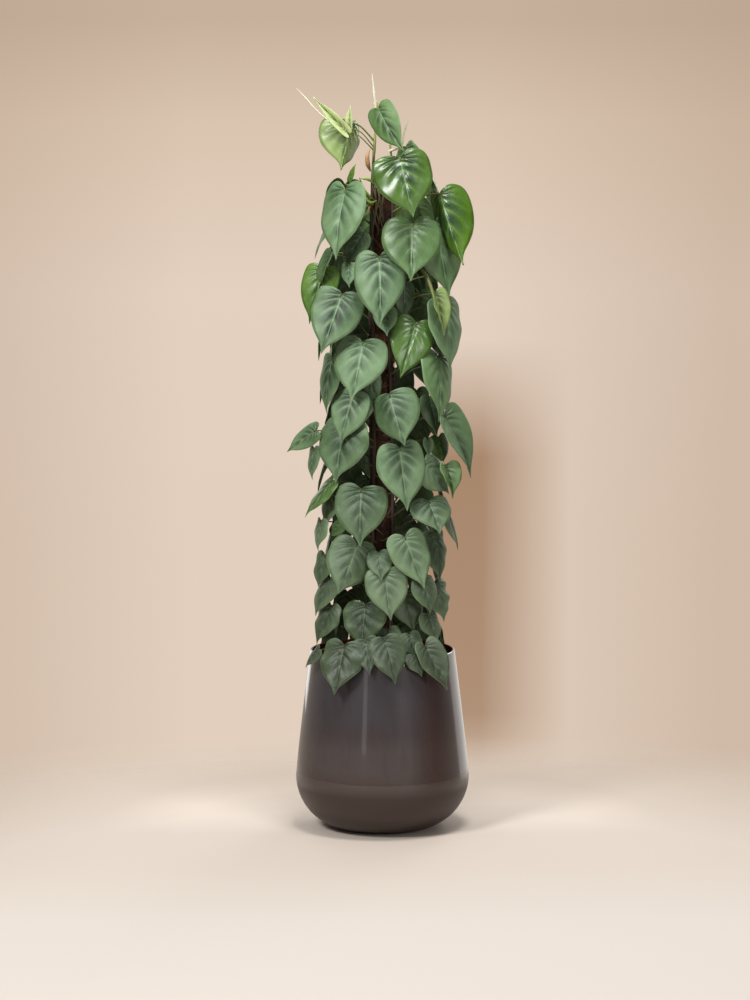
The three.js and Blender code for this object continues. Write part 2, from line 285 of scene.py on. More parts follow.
pot = {
    "height": 0.360,
    "rimRadius": 0.145,
    "bellyRadius": 0.1745,
    "bellyHeight": 0.105,
    "footRadius": 0.075,
    "wall": 0.005,
    "floor": 0.010,
    "wallCurve": 1.1,
    "bowlSteps": 18,
    "wallSteps": 22,
    "lipSteps": 8,
    "turns": 144,
    "footSkin": 0.0005,
}

glaze = {
    # the glaze low and high on the pot; the greyer high colour is partly a painted reflection of the
    # room
    "low": tint(64, 52, 46),
    "high": tint(58, 56, 60),
    # the colour and height of a painted reflection band
    "band": tint(76, 69, 68),
    "reflectionBandAt": 0.44,
    # the colour and place of a painted reflection, a dark reddish strip on the right
    "reddishReflection": tint(50, 27, 22),
    "reddishReflectionAt": 0.105,
    "streaks": tint(47, 36, 33),
    "specks": tint(22, 14, 12),
    # painted shade on the bowl below the belly
    "bowl": tint(46, 29, 20),
    "inside": (tint(66, 20, 12), tint(98, 38, 22)),
    "bareClay": (tint(120, 72, 50), tint(156, 100, 72)),
}


def sideProfile(inset, top):
    bottom = pot["floor"] if inset > 0 else 0.0
    reach = pot["bellyRadius"] - inset - pot["footRadius"]
    points = []
    for step in shares(pot["bowlSteps"])[:-1]:
        angle = step * math.pi / 2
        points.append((pot["footRadius"] + reach * math.sin(angle),
                       lerp(bottom, pot["bellyHeight"], 1 - math.cos(angle))))
    fall = pot["bellyRadius"] - pot["rimRadius"]
    for step in shares(pot["wallSteps"]):
        z = lerp(pot["bellyHeight"], top, step)
        share = (z - pot["bellyHeight"]) / (pot["height"] - pot["bellyHeight"])
        points.append((pot["bellyRadius"] - fall * share ** pot["wallCurve"] - inset, z))
    return points


def glazeLook():
    look = Look("darkGlaze", Coat_Roughness=0.035, IOR=1.5)
    place = look.objectPlace()
    east, _, up = look.split(place)
    height = up / pot["height"]
    clouds = look.noise(place, 6, 4, 0.6)
    streaks = look.noise(look.objectPlace((1, 1, 0.1)), 70, 4)
    specks = clamp((look.noise(place, 480, 2) - 0.66) * 9)
    # a painted reflection: a paler band around the pot at this height
    paleReflectionBand = band(height, glaze["reflectionBandAt"], 0.09, 1.6)
    # a painted reflection: a dark reddish strip down the pot's right side
    reddishReflection = band(east, glaze["reddishReflectionAt"], 0.05)
    # the bowl below the belly has a rougher glaze with less coat, and its darker colour is painted
    # shade
    bowl = clamp((1.15 - up / pot["bellyHeight"]) * 3)
    look.paint(layered(glaze["low"], [
        # greyer towards the top: partly the glaze's colour, partly a painted reflection of the room
        (clamp(height * 2.2 - 0.6 + (clouds - 0.5)), glaze["high"]),
        (paleReflectionBand * 0.6, glaze["band"]),
        (reddishReflection * 0.7, glaze["reddishReflection"]),
        (clamp((streaks - 0.5) * 2) * 0.5, glaze["streaks"]),
        (specks * 0.5, glaze["specks"]),
        (bowl * 0.8, glaze["bowl"]),
    ]))
    look.feed("Coat Weight", 1 - bowl * 0.9)
    look.feed("Roughness", 0.16 + clouds * 0.12 + bowl * 0.3)
    look.bump(look.noise(place, 34, 3) * 0.5 + streaks * 0.15, 0.05, 0.003)
    return look


def glazeInsideLook():
    look = Look("redBrownInside", Roughness=0.3, Coat_Weight=0.6, Coat_Roughness=0.1)
    clouds = look.noise(look.objectPlace(), 30, 4)
    look.paint(mix(clouds, *glaze["inside"]))
    return look


def footLook():
    look = Look("bareClayFoot", Roughness=0.85)
    grain = look.noise(look.objectPlace(), 260, 4)
    look.paint(mix(grain, *glaze["bareClay"]))
    look.bump(grain, 0.3, 0.0006)
    return look


def makePot():
    lip = pot["wall"] / 2
    outer = sideProfile(0, pot["height"] - lip)
    inner = sideProfile(pot["wall"], pot["height"] - lip)
    centre = pot["rimRadius"] - lip
    turns = [step * math.pi for step in shares(pot["lipSteps"])[1:-1]]
    crest = [(centre + lip * math.cos(turn), pot["height"] - lip + lip * math.sin(turn))
             for turn in turns]
    profile = [(0, 0), *outer, *crest, *reversed(inner), (0, pot["floor"])]
    bm = spun(profile, pot["turns"])
    for face in bm.faces:
        middle = face.calc_center_median()
        radius = math.hypot(middle.x, middle.y)
        inward = face.normal.x * middle.x + face.normal.y * middle.y < 0
        innerFloor = face.normal.z > 0.7 and middle.z < pot["bellyHeight"]
        if middle.z < pot["footSkin"] and radius < pot["footRadius"]:
            face.material_index = 2
        elif inward or innerFloor:
            face.material_index = 1
    addPiece("glazed_pot", bm, [glazeLook(), glazeInsideLook(), footLook()], "glaze", ["pot"])
    print("pot done")


# The soil

soil = {
    "edge": 0.1443,
    "level": 0.322,
    "crown": 0.008,
    "depth": 0.030,
    "turns": 96,
    "rings": 34,
    "relief": 0.0032,
    "crumbs": 420,
    "crumbSize": (0.0018, 0.0052),
    "crumbReach": 0.94,
    "earth": (tint(22, 15, 11), tint(62, 44, 32)),
    "lumps": tint(44, 30, 21),
    "bark": [(0.35, tint(30, 19, 13)), (0.5, tint(70, 46, 30)), (0.68, tint(108, 82, 58))],
    "seed": 5,
}


def soilHeight(x, y):
    share = math.hypot(x, y) / soil["edge"]
    rough = noise.noise(Vector((x, y, 0)) * 90) + 0.5 * noise.noise(Vector((x, y, 3)) * 240)
    return soil["level"] + soil["crown"] * (1 - share * share) + soil["relief"] * rough


def soilLook():
    look = Look("pottingSoil", Roughness=0.95)
    place = look.objectPlace()
    grain = look.noise(place, 320, 5, 0.65)
    lumps = look.noise(place, 60, 3)
    earth = mix(grain, *soil["earth"])
    look.paint(mix(clamp((lumps - 0.4) * 2), earth, soil["lumps"]))
    look.bump(grain, 0.7, 0.002)
    return look


def makeSoil():
    bottom = soil["level"] - soil["depth"]
    profile = [(soil["edge"] * share, soil["level"]) for share in shares(soil["rings"])]
    profile += [(soil["edge"], bottom), (0, bottom)]
    bm = spun(profile, soil["turns"])
    for vert in bm.verts:
        if vert.co.z > soil["level"] - 0.001:
            vert.co.z = soilHeight(vert.co.x, vert.co.y)
    addPiece("soil_top", bm, [soilLook()], "soil", ["soil"])

    draws = random.Random(soil["seed"])
    crumbs = bmesh.new()
    for _ in range(soil["crumbs"]):
        angle = draws.uniform(0, math.tau)
        radius = soil["edge"] * soil["crumbReach"] * math.sqrt(draws.uniform(0.06, 1))
        x, y = radius * math.cos(angle), radius * math.sin(angle)
        size = draws.uniform(*soil["crumbSize"])
        deep, high = size * draws.uniform(0.5, 1), size * draws.uniform(0.4, 0.8)
        shape = Matrix.Diagonal((size, deep, high, 1))
        turn = Matrix.Rotation(draws.uniform(0, math.tau), 4, "Z")
        place = Matrix.Translation((x, y, soilHeight(x, y) + size * 0.25))
        bmesh.ops.create_icosphere(crumbs, subdivisions=1, radius=1, matrix=place @ turn @ shape)
    bark = Look("barkCrumbs", Roughness=0.9)
    grain = bark.noise(bark.objectPlace(), 140, 3)
    bark.paint(bark.ramp(grain, soil["bark"]))
    addPiece("soil_crumbs", crumbs, [bark], "soil")
    print("soil done")


# The coir pole

coir = {
    "radius": 0.0235,
    "bottom": 0.300,
    "top": 1.2835,
    "turns": 72,
    "rings": 320,
    "relief": 0.0022,
    "fibres": 2200,
    "fibreRadius": 0.00026,
    "fibreLowest": 0.34,
    "fibreTurn": (-50, 50),
    "fibreClimb": (-0.014, 0.014),
    "fibreLift": (0.0004, 0.0048),
    "fibreSunk": 0.0006,
    "fibreSteps": 4,
    # the height and colour of a band of painted light on the fibres
    "paintedLightAt": 0.963,
    "paintedLight": tint(216, 164, 122),
    "wood": (tint(120, 88, 56), tint(170, 132, 90)),
    "seed": 9,
}


def coirLook(name, dark, light, shade):
    look = Look(name, Roughness=0.95)
    fibre = look.noise(look.objectPlace((1, 1, 0.22)), 620, 4, 0.6)
    patches = look.noise(look.objectPlace(), 26, 3)
    body = mix(clamp((fibre - 0.3) * 2.2), dark, light)
    body = mix(clamp((patches - 0.46) * 3.5), body, shade)
    height = look.split(look.objectPlace())[2]
    # painted light: paler fibres in a band at one height
    paintedLight = band(height, coir["paintedLightAt"], 0.018, 2) * clamp((fibre - 0.36) * 5)
    look.paint(mix(paintedLight * 0.8, body, coir["paintedLight"]))
    look.bump(fibre, 0.8, 0.0012)
    return look


def makeCoir():
    heights = [lerp(coir["bottom"], coir["top"], share) for share in shares(coir["rings"])]
    profile = [(0, coir["bottom"]), *[(coir["radius"], z) for z in heights], (0, coir["top"])]
    bm = spun(profile, coir["turns"])
    for vert in bm.verts:
        flat = Vector((vert.co.x, vert.co.y, 0))
        if flat.length > coir["radius"] * 0.9:
            rough = noise.noise(vert.co * 110) + noise.noise(vert.co * 420) - 1
            vert.co += flat.normalized() * coir["relief"] * 0.6 * rough
    look = coirLook("coirMat", tint(32, 17, 11), tint(104, 60, 38), tint(36, 21, 14))
    addPiece("coir_pole", bm, [look], "coir", ["coir_wrap"])

    draws = random.Random(coir["seed"])
    routes = []
    for _ in range(coir["fibres"]):
        angle = draws.uniform(0, 360)
        z = draws.uniform(coir["fibreLowest"], coir["top"] - 0.004)
        turn = draws.uniform(*coir["fibreTurn"])
        climb = draws.uniform(*coir["fibreClimb"])
        lift = draws.uniform(*coir["fibreLift"])
        route = []
        for share in shares(coir["fibreSteps"]):
            away = lift * math.sin(math.pi * min(share * 1.15, 1)) - coir["fibreSunk"]
            height = min(z + climb * share, coir["top"])
            point = placeAt(angle + turn * share, coir["radius"] + away, height)
            route.append((point, coir["fibreRadius"] * (1 - 0.6 * share)))
        routes.append(route)
    fibreLook = coirLook("looseFibres", tint(74, 42, 26), tint(140, 92, 60), tint(60, 36, 24))
    tubes("coir_fibres", routes, 0, [fibreLook], "coir")

    wood = Look("stakeWood", Roughness=0.75)
    grain = wood.noise(wood.objectPlace((1, 1, 0.05)), 300, 4)
    wood.paint(mix(grain, *coir["wood"]))
    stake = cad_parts["pole_stake"]
    stake.data.materials.clear()
    stake.data.materials.append(wood.material)
    print("coir pole done")


# The plant. Each leaf row gives, in millimetres and degrees: x and z of the notch, its reach
# from the pole's axis, the way the leaf faces, the swing of its tip, its tilt, length and
# width, and where they differ from flat, how far its left and right halves are folded up.

frontLeftLeaves = [
    (-9, 1438, 60, -36, 36, 12, 108, 66),
    (-66, 1412, 75, 22, -12, 14, 96, 112, -20, -42),
    (-72, 1394, 88, 10, -135, 0, 93, 30, 40, 40),
    (-64, 1400, 80, -30, 176, -10, 44, 22, 40, 40),
    (-66, 1298, 74, -40, 158, 0, 36, 14),
    (-74, 1281, 95, -42, 0, 20, 140, 110),
    (-40, 1195, 72, -30, -30, 10, 80, 52),
    (-7, 1150, 100, -3, 4, 18, 140, 102),
    (-100, 1154, 118, -55, -22, 15, 88, 40, 40, 40),
    (-66, 1134, 88, -30, 5, 15, 46, 40),
    (-118, 1124, 126, -12, -10, 15, 110, 76),
    (-80, 1077, 118, -10, -16, 20, 124, 106),
    (-39, 983, 100, -15, -4, 20, 118, 104),
    (-100, 950, 116, -58, 0, 15, 110, 80),
    (-23, 920, 67, -6, 6, 10, 72, 40),
    (-31, 878, 80, -12, -6, 20, 60, 40),
    (-58, 878, 106, -22, -14, 18, 98, 80),
    (-74, 818, 105, -32, -4, 20, 114, 112),
    (-131, 805, 138, -35, -58, 15, 84, 44),
    (-136, 768, 141, -62, 4, 15, 62, 48),
    (-99, 707, 118, -62, -20, 38, 92, 62),
    (-42, 693, 105, -10, 0, 20, 114, 108),
    (-98, 684, 110, -50, -8, 18, 72, 64),
    (-80, 625, 108, -40, -40, 20, 42, 34),
    (-122, 624, 130, -66, 4, 15, 60, 60),
    (-50, 585, 110, 0, -18, 20, 108, 100, -5, -28),
    (-7, 567, 96, 0, 5, 35, 60, 50),
    (-114, 555, 122, -50, -5, 18, 66, 60),
    (-104, 511, 118, -55, -16, 20, 84, 72),
    (-35, 464, 110, -14, 0, 20, 88, 88),
    (-102, 456, 118, -50, -14, 20, 84, 70),
    (-76, 387, 146, -22, 0, 30, 101, 88),
    (-126, 372, 152, -60, -30, 34, 48, 40),
    (-34, 397, 134, -6, 10, 32, 72, 56),
]

frontRightLeaves = [
    (46, 1364, 62, 40, 30, 15, 64, 60),
    (33, 1343, 108, -4, 13, 18, 122, 120, 0, -14),
    (111, 1273, 130, -26, 21, 12, 150, 114, -44, -38),
    (58, 1215, 105, 4, -4, 22, 116, 116),
    (103, 1217, 118, 30, 4, 16, 152, 104),
    (42, 1092, 67, 25, 0, 12, 66, 50),
    (102, 1078, 134, 40, 8, 15, 84, 56, 42, 42),
    (122, 1057, 132, 50, 0, 15, 134, 104),
    (5, 1048, 80, 0, 0, 40, 60, 50),
    (66, 1019, 100, 12, -19, 18, 112, 90),
    (109, 953, 122, 52, -12, 18, 130, 96),
    (93, 872, 108, 25, 8, 15, 78, 46),
    (12, 882, 114, -20, 22, 18, 110, 104, -24, -20),
    (122, 835, 134, 45, 28, 15, 140, 92, 30, 20),
    (88, 787, 104, 20, 0, 15, 34, 26, 35, 35),
    (111, 791, 118, 40, 6, 10, 56, 50),
    (34, 775, 104, 14, 2, 18, 125, 96),
    (124, 736, 138, 35, 0, 28, 66, 66, 38, 38),
    (82, 743, 112, 40, 40, 20, 86, 72),
    (91, 668, 118, 22, 10, 36, 72, 92),
    (128, 640, 135, 75, 10, 20, 80, 60),
    (99, 600, 112, 50, 3, 15, 98, 80),
    (44, 599, 110, 20, 15, 18, 110, 88),
    (6, 530, 112, 2, 2, 20, 95, 86),
    (80, 512, 119, 40, 8, 18, 70, 64),
    (103, 500, 112, 48, 2, 20, 80, 76),
    (44, 486, 84, 25, 8, 18, 84, 70),
    (90, 440, 115, 45, 5, 25, 60, 55),
    (10, 415, 104, 4, 12, 28, 56, 50),
    (53, 404, 112, 26, 10, 28, 54, 50),
    (4, 402, 142, 4, 15, 32, 94, 68),
    (60, 368, 146, 20, 12, 35, 46, 42),
    (84, 385, 146, 20, 18, 28, 98, 66, 25, 25),
]

column = {
    "lowest": 460,
    "rows": 10,
    "rowHeight": 93,
    "reach": 96,
    "tilt": 20,
    "lowLength": 96,
    "highLength": 132,
    "widthShare": 0.78,
    "heightSpread": 9,
    "facingSpread": 5,
    "swingSpread": 8,
    "lengthSpread": (0.88, 1.08),
    "widthSpread": (0.94, 1.05),
    "angleSpread": 4,
    "reachSpread": (-3, 4),
    "tiltSpread": 2,
    "rimLevel": 396,
    "rimReach": 138,
    "rimTilt": 30,
    "rimLength": 95,
    "rimSpreads": (6, 0.1, 10),
}

vines = [
    {"name": "vine_front_left", "angle": -42, "wander": 7, "phase": 0.4, "top": 1450,
     "leaves": frontLeftLeaves,
     "shoots": [([(-14, -14, 1440), (-17, -20, 1470)], 2.0, 39),
                ([(-70, -22, 1394), (-118, -34, 1424), (-150, -40, 1458)], 1.2, 28)]},
    {"name": "vine_front_right", "angle": 38, "wander": 8, "phase": 2.1, "top": 1368,
     "leaves": frontRightLeaves,
     "shoots": [([(13, -17, 1355), (36, -34, 1366), (43, -38, 1392)], 1.8, 30)]},
    {"name": "vine_back_right", "angle": 143, "wander": 7, "phase": 4.0, "top": 1325,
     "columns": [98, 132, 164], "overRim": [138, 166]},
    {"name": "vine_back_left", "angle": 236, "wander": 7, "phase": 5.2, "top": 1340,
     "columns": [196, 228, 262], "overRim": [194, 222]},
]
allColumns = [degrees for vine in vines for degrees in vine.get("columns", [])]

tones = {
    "freshHeights": (1000, 1500),
    "freshest": 0.4,
    "freshSpread": (-0.04, 0.06),
    "shadeSpread": (-0.1, 0.08),
    "lowHeights": (620, 480),
    # painted shade on the leaves low down
    "lowPaintedShade": 0.12,
    "glossSpread": (-0.08, 0.12),
}

# leaves that differ from their neighbours: row, freshness, shade (a painted shade below 0.5, a
# painted light above it) and gloss
leafTones = {
    "vine_front_left": {
        0: (0.38, 0.45, 0.2), 1: (0.84, 0.5, 0.6), 2: (1.0, 0.5, 0.4), 3: (1.0, 0.5, 0.4),
        4: (0.7, 0.5, 0.4), 5: (0.1, 0.68, 0.3), 6: (0.1, 0.16, 0.3), 7: (0.04, 0.42, 0.35),
        8: (0.3, 0.25, 0.4), 9: (0.02, 0.6, 0.2), 10: (0.62, 0.5, 0.6), 11: (0.04, 0.3, 0.35),
        12: (0.05, 0.64, 0.3), 13: (0.05, 0.22, 0.3), 15: (0.04, 0.64, 0.3), 16: (0.04, 0.55, 0.3),
        17: (0.04, 0.48, 0.3), 18: (0.1, 0.6, 0.5), 20: (0.42, 0.5, 0.7), 21: (0.03, 0.32, 0.3),
        23: (0.35, 0.4, 0.4), 25: (0.03, 0.38, 0.3), 29: (0.02, 0.14, 0.3), 31: (0.02, 0.4, 0.4),
        33: (0.02, 0.25, 0.3),
    },
    "vine_front_right": {
        0: (0.42, 0.6, 0.4), 1: (0.58, 0.36, 0.8), 2: (0.66, 0.42, 0.8), 3: (0.32, 0.4, 0.5),
        4: (0.2, 0.58, 0.4), 5: (0.05, 0.1, 0.2), 6: (0.84, 0.5, 0.5), 7: (0.06, 0.66, 0.35),
        8: (0.04, 0.65, 0.3), 9: (0.5, 0.48, 0.8), 10: (0.26, 0.62, 0.4), 11: (0.04, 0.12, 0.3),
        12: (0.05, 0.42, 0.35), 13: (0.06, 0.64, 0.35), 15: (0.45, 0.28, 0.8), 16: (0.04, 0.74, 0.3),
        17: (0.3, 0.45, 0.5), 18: (0.03, 0.5, 0.3), 19: (0.03, 0.42, 0.3), 21: (0.04, 0.2, 0.3),
        22: (0.03, 0.66, 0.3), 23: (0.03, 0.6, 0.3), 28: (0.02, 0.3, 0.3), 29: (0.02, 0.32, 0.3),
        30: (0.02, 0.14, 0.35), 32: (0.02, 0.36, 0.35),
    },
}

stem = {
    "radius": 3.5,
    "climbRadius": 28,
    "soilRadius": 35,
    "bottom": 300,
    "settleStart": 350,
    "settle": 430,
    "wanderLength": 110,
    "wrapTop": 1285,
    "drawnIn": 10,
    "freeStart": 10,
    "freeEnd": 40,
    "step": 7,
    "nodeSwell": 0.16,
    "nodeLength": 5,
    "mostSwell": 0.22,
    "taper": 0.4,
    "taperLength": 220,
}

petiole = {
    "radius": 1.6,
    "rise": 38,
    "lowest": 345,
    "rootBelowTop": 4,
    "archPlace": 0.55,
    "lift": 9,
    "sunk": 7,
    "below": 0.8,
    "dip": 1.2,
    "steps": 7,
    "swell": 0.35,
    "swellEnd": 0.08,
    "midrib": (0.12, 0.22, 0.34, 0.48, 0.62),
}

blade = {
    "thickness": 1.0,
    "skin": 0.75,
    "edgeFall": 0.07,
    "archLow": 0.07,
    "archHigh": 0.15,
    "bendSpread": 0.07,
    "outlineSteps": 60,
    "sideSteps": 9,
    "quilt": (0.05, 0.1),
    "cup": (0.04, 0.16),
    "groove": 0.016,
    "wave": (0.008, 0.026),
    "lobe": (0.6, 1.2),
    "slim": (-0.06, 0.08),
    "twist": (-10, 10),
    "quiltFold": (20, 75),
    "waveFold": (50, 75),
    "loose": {"wave": 0.8, "slim": 0.4, "tip": 0.3},
    "firstVein": 3.4,
    "veinStep": 1.6,
    "seed": 3,
}

# the half outline from notch to tip: share of the length, share of the half width, and the
# place on the midrib where the vein to that point starts
heartOutline = [
    (0.0, 0.0, 0.0), (-0.03, 0.06, 0.0), (-0.075, 0.19, 0.0), (-0.112, 0.38, 0.0),
    (-0.108, 0.6, 0.0), (-0.055, 0.82, 0.0), (0.06, 0.955, 0.005), (0.2, 1.0, 0.02),
    (0.34, 0.985, 0.06), (0.47, 0.9, 0.12), (0.6, 0.73, 0.22), (0.715, 0.5, 0.36),
    (0.805, 0.275, 0.52), (0.88, 0.125, 0.68), (0.945, 0.05, 0.85), (1.0, 0.0, 1.0),
]

outlineEnd = len(heartOutline) - 1


class Draws:
    # the repeatable draws that place the leaves
    def __init__(self, state):
        self.state = state

    def between(self, low, high):
        self.state = self.state * 16807 % 2147483647
        return low + (high - low) * self.state / 2147483647


placing = Draws(38)


def spread(most):
    return placing.between(-most, most)


def leafFrame(notch, facing, swing, tilt, length, width, leftFold=0, rightFold=0):
    out, right, up = outwardAt(facing), outwardAt(facing + 90), Vector((0, 0, 1))
    lean, turn = math.radians(tilt), math.radians(swing)
    down = out * math.sin(lean) - up * math.cos(lean)
    face = out * math.cos(lean) + up * math.sin(lean)
    along = down * math.cos(turn) + right * math.sin(turn)
    across = right * math.cos(turn) - down * math.sin(turn)
    arch = placing.between(blade["archLow"], blade["archHigh"])
    bend = spread(blade["bendSpread"])
    return {"notch": notch, "along": along, "across": across, "face": face, "length": length,
            "width": width, "folds": (leftFold, rightFold), "arch": arch, "bend": bend, "loose": 0}


def bladePoint(leaf, share, side, rise=0.0, twist=0.0):
    droop = max(share, 0) ** 2
    half = side * leaf["width"] / 2
    fold = math.radians(leaf["folds"][0 if side < 0 else 1] + twist * droop * (1 if side > 0 else -1))
    sideways = half * math.cos(fold) + leaf["bend"] * leaf["length"] * droop
    fall = leaf["arch"] * leaf["length"] * droop + blade["edgeFall"] * leaf["width"] * side * side
    point = leaf["notch"] + leaf["along"] * (share * leaf["length"]) + leaf["across"] * sideways
    point += leaf["face"] * (abs(half) * math.sin(fold) - fall)
    lean = math.sin(fold) * (-1 if side > 0 else 1)
    return point + (leaf["face"] * math.cos(fold) + leaf["across"] * lean) * rise


def tableLeaf(row):
    x, z, reach, *shape = row
    return leafFrame(Vector((x, -math.sqrt(reach * reach - x * x), z)), *shape)


def columnLeaves(degrees, shifted):
    leaves = []
    for row in range(column["rows"] - (1 if shifted else 0)):
        level = column["lowest"] + column["rowHeight"] * (row + (0.5 if shifted else 0))
        z = level + spread(column["heightSpread"])
        facing = degrees + spread(column["facingSpread"])
        swing = spread(column["swingSpread"])
        size = lerp(column["lowLength"], column["highLength"], row / column["rows"])
        length = size * placing.between(*column["lengthSpread"])
        width = length * column["widthShare"] * placing.between(*column["widthSpread"])
        angle = degrees + spread(column["angleSpread"])
        notch = placeAt(angle, column["reach"] + placing.between(*column["reachSpread"]), z)
        tilt = column["tilt"] + spread(column["tiltSpread"])
        leaves.append({**leafFrame(notch, facing, swing, tilt, length, width), "loose": 1})
    return leaves


def rimLeaf(degrees):
    height, growth, swing = [spread(most) for most in column["rimSpreads"]]
    notch = placeAt(degrees, column["rimReach"], column["rimLevel"] + height)
    length = column["rimLength"] * (1 + growth)
    return leafFrame(notch, degrees, swing, column["rimTilt"], length, length * column["widthShare"])


def vineLeaves(vine):
    leaves = [tableLeaf(row) for row in vine.get("leaves", [])]
    for degrees in vine.get("columns", []):
        leaves += columnLeaves(degrees, allColumns.index(degrees) % 2 == 1)
    return leaves + [rimLeaf(degrees) for degrees in vine.get("overRim", [])]


def stemPoint(vine, z):
    settled = smoothstep(z, stem["settleStart"], stem["settle"])
    freed = smoothstep(z, stem["wrapTop"] + stem["freeStart"], vine["top"] + stem["freeEnd"])
    radius = lerp(stem["soilRadius"], stem["climbRadius"], settled) - freed * stem["drawnIn"]
    sway = settled * vine["wander"] * math.sin(z / stem["wanderLength"] + vine["phase"])
    return placeAt(vine["angle"] + sway, radius, z)


def outlineAt(place):
    # a smooth curve through the outline's points
    index = min(int(place), outlineEnd - 1)
    around = [heartOutline[min(max(index + step, 0), outlineEnd)] for step in (-1, 0, 1, 2)]
    return [curveAt(*parts, place - index) for parts in zip(*around)]


def makeLeafTemplate():
    # a flat heart whose x is the share of the half width and y the share of the length; its
    # grid runs along the veins, and the relief between them waits in z; laid on a leaf it
    # turns over, so here its upper side faces down
    bm = bmesh.new()
    bmesh.ops.create_grid(bm, x_segments=blade["outlineSteps"], y_segments=blade["sideSteps"],
                          size=0.5)
    veins = bm.loops.layers.uv.new("veins")
    flat = bm.loops.layers.uv.new("blade")
    for face in bm.faces:
        face.smooth = True
        for loop in face.loops:
            loop[veins].uv = (loop.vert.co.x + 0.5, loop.vert.co.y + 0.5)
    for vert in bm.verts:
        place, across = (vert.co.x + 0.5) * outlineEnd, vert.co.y + 0.5
        share, side, root = outlineAt(place)
        side = max(side, 0.0)
        bow = 0.3 if share > root else 0.5
        shareHere = bowed(root, lerp(root, share, bow), share, across)
        sideHere = bowed(0, side * 0.58, side, across)
        swell = abs(math.sin(math.pi * (place - blade["firstVein"]) / blade["veinStep"]))
        window = across ** 0.5 * (1 - across) ** 2 * min(side * 3, 1)
        vert.co = (sideHere, shareHere, swell ** 1.4 * window)
    bmesh.ops.mirror(bm, geom=bm.verts[:] + bm.edges[:] + bm.faces[:], merge_dist=1e-5, axis="X")
    bmesh.ops.remove_doubles(bm, verts=bm.verts, dist=1e-5)
    bmesh.ops.dissolve_degenerate(bm, edges=bm.edges, dist=1e-6)
    bm.normal_update()
    for face in bm.faces:
        if face.normal.z > 0:
            face.normal_flip()
        for loop in face.loops:
            loop[flat].uv = loop.vert.co.xy
    return meshFrom("leafTemplate", bm)


def addLeaf(bm, template, leaf, tone, draws):
    # lays the template's points on the leaf's own curved blade
    first = len(bm.verts)
    bm.from_mesh(template)
    bm.verts.ensure_lookup_table()
    colours = bm.verts.layers.float_color
    toneLayer = colours.get("leafTone") or colours.new("leafTone")
    loose = {key: leaf["loose"] * value for key, value in blade["loose"].items()}
    quilt, cup, wave, slim = [draws.uniform(*blade[key]) for key in ("quilt", "cup", "wave", "slim")]
    quilt *= 1 - smoothstep(max(leaf["folds"]), *blade["quiltFold"])
    wave *= 1 + smoothstep(leaf["notch"].z, 700, 450) + loose["wave"]
    wave *= 1 - smoothstep(max(leaf["folds"]), *blade["waveFold"])
    lobes = draws.uniform(*blade["lobe"]), draws.uniform(*blade["lobe"])
    wavePlace, waveCount = draws.uniform(0, math.tau), draws.uniform(1.4, 2.8)
    twist = draws.uniform(*blade["twist"]) * (1 + leaf["loose"])
    slim += (lobes[0] - 0.9) * loose["slim"]
    tipLift = max(lobes[1] - 0.85, 0) * loose["tip"]
    for vert in bm.verts[first:]:
        side, share, swell = vert.co
        edge = abs(side)
        if share < 0:
            share *= lerp(1, lobes[0 if side < 0 else 1], min(edge * 4, 1))
        else:
            side *= 1 - slim * 4 * share * (1 - share)
        ripple = math.sin(share * waveCount * math.tau + wavePlace + (1.3 if side > 0 else 0))
        rise = quilt * swell + wave * ripple * edge ** 2
        rise += cup * edge * (1 - edge) - blade["groove"] * math.exp(-(edge / 0.06) ** 2)
        rise += tipLift * max(share, 0) ** 3
        vert.co = bladePoint(leaf, share, side, rise * leaf["width"], twist) * mm
        vert[toneLayer] = tone


def betweenVeins(look):
    # the distance from the nearest side vein, and the share of the way out to the margin
    along, across, _ = look.split(look.node("UVMap", {"uv_map": "veins"}))
    vein = (along * outlineEnd - blade["firstVein"]) / blade["veinStep"]
    return look.maths("PINGPONG", vein, 0.5), across


